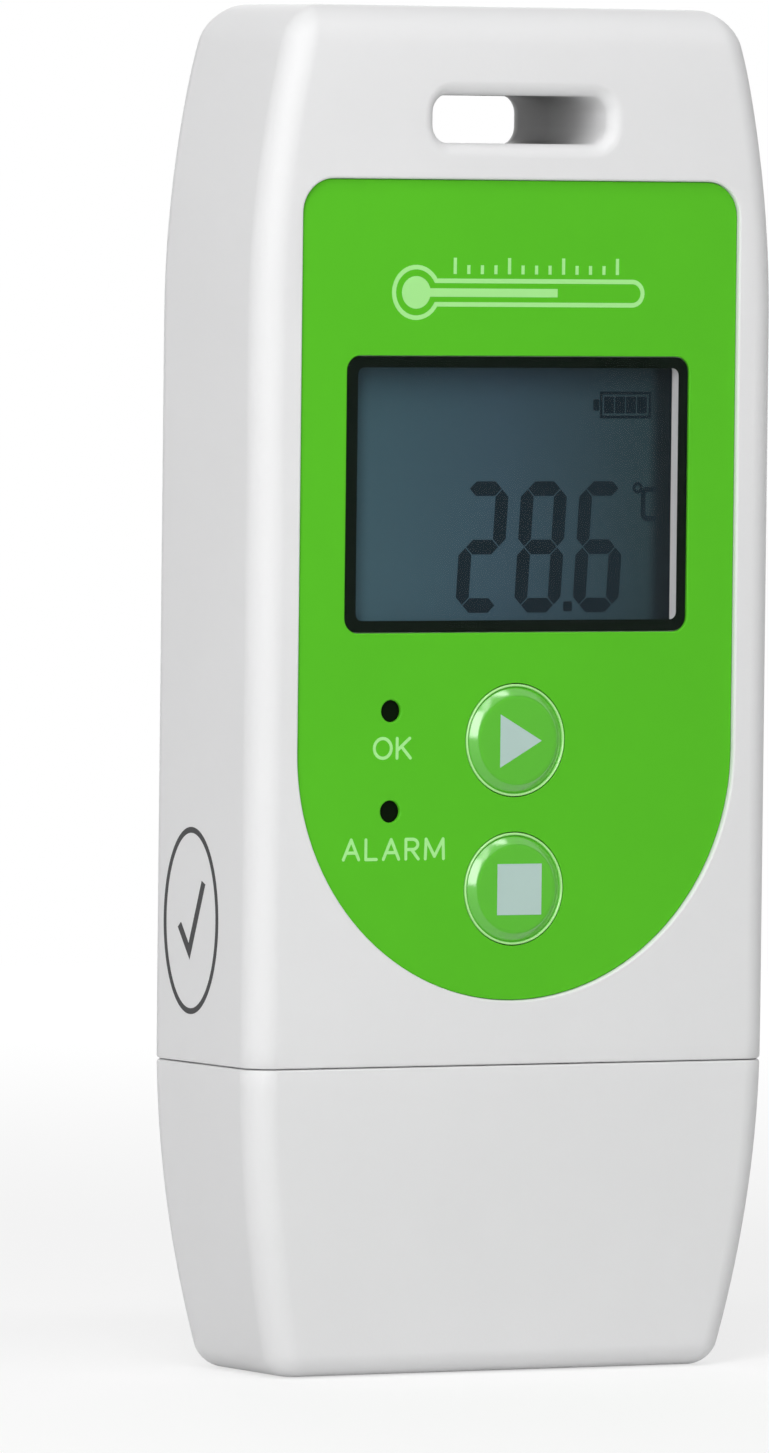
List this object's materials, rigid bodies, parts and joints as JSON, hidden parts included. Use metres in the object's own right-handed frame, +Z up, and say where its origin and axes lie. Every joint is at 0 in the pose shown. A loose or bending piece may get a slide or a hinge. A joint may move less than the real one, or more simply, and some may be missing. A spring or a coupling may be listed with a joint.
{
  "type": "temperature data logger",
  "caption": "Slim pocket temperature recorder with a small display, play and stop keys, a lanyard slot and a plug under a pull-off cap.",
  "frame": {"origin": "middle of the cap's flat end, on which the logger stands", "axes": "+Z up the body from the cap to the lanyard slot, -Y out of the front with the display, +X to the right seen from the front"},
  "size_m": [0.0364, 0.014, 0.084],
  "materials": {
    "white": "fine satin moulded plastic",
    "door_white": "fine satin moulded plastic",
    "green_film": "printed film, satin gloss",
    "key_green": "clear-coated domed key",
    "clear_lens": "clear polished pane",
    "black_print": "black print behind the pane",
    "smoked": "dark smoked plastic",
    "lcd": "grey-blue polarised glass",
    "reflector": "satin film",
    "holder_white": "satin moulded plastic",
    "black_plastic": "matt moulded plastic",
    "rubber": "soft dark rubber",
    "board_green": "solder-masked board",
    "steel": "bright nickel-plated sheet",
    "screw_steel": "plated steel",
    "gold": "gold-plated contact",
    "spring": "plated spring strip",
    "ceramic": "ceramic chip parts",
    "led": "clear-topped lamp"
  },
  "bodies": {
    "logger": {"front_housing": "white", "rear_cover": "white", "housing_seal": "rubber", "housing_screws": "screw_steel", "collar_seal": "rubber", "front_overlay": "green_film", "window_lens": "clear_lens", "window_mask": "black_print", "light_pipes": "smoked", "start_switch": "steel", "stop_switch": "steel", "lcd_front_glass": "lcd", "lcd_rear_glass": "lcd", "lcd_reflector": "reflector", "lcd_holder": "holder_white", "zebra_strip": "rubber", "circuit_board": "board_green", "microcontroller": "black_plastic", "memory_chip": "black_plastic", "crystal": "steel", "temperature_sensor": "black_plastic", "chip_capacitors": "ceramic", "ok_led": "led", "alarm_led": "led", "usb_shell": "steel", "usb_tongue": "holder_white", "usb_contacts": "gold", "coin_cell": "steel", "battery_holder": "black_plastic", "battery_positive_contact": "spring", "battery_negative_contact": "spring"},
    "cap_body": {"cap": "white"},
    "start_key": {"start_button": "key_green", "start_plunger": "black_plastic"},
    "stop_key": {"stop_button": "key_green", "stop_plunger": "black_plastic"},
    "battery_door": {"battery_cover": "door_white", "battery_cover_seal": "rubber"}
  },
  "joints": [
    {"name": "cap_pull", "type": "slide", "parent": "logger", "child": "cap_body", "axis": [0, 0, -1], "range_m": [0, 0.024]},
    {"name": "start_key_press", "type": "slide", "parent": "logger", "child": "start_key", "axis": [0, 1, 0], "range_m": [0, 0.0003], "stiffness_N_per_m": 2000},
    {"name": "stop_key_press", "type": "slide", "parent": "logger", "child": "stop_key", "axis": [0, 1, 0], "range_m": [0, 0.0003], "stiffness_N_per_m": 2000},
    {"name": "battery_cover_turn", "type": "hinge", "parent": "logger", "child": "battery_door", "pos_m": [0, 0.007, 0.05379], "axis": [0, 1, 0], "range_deg": [0, 50]}
  ]
}
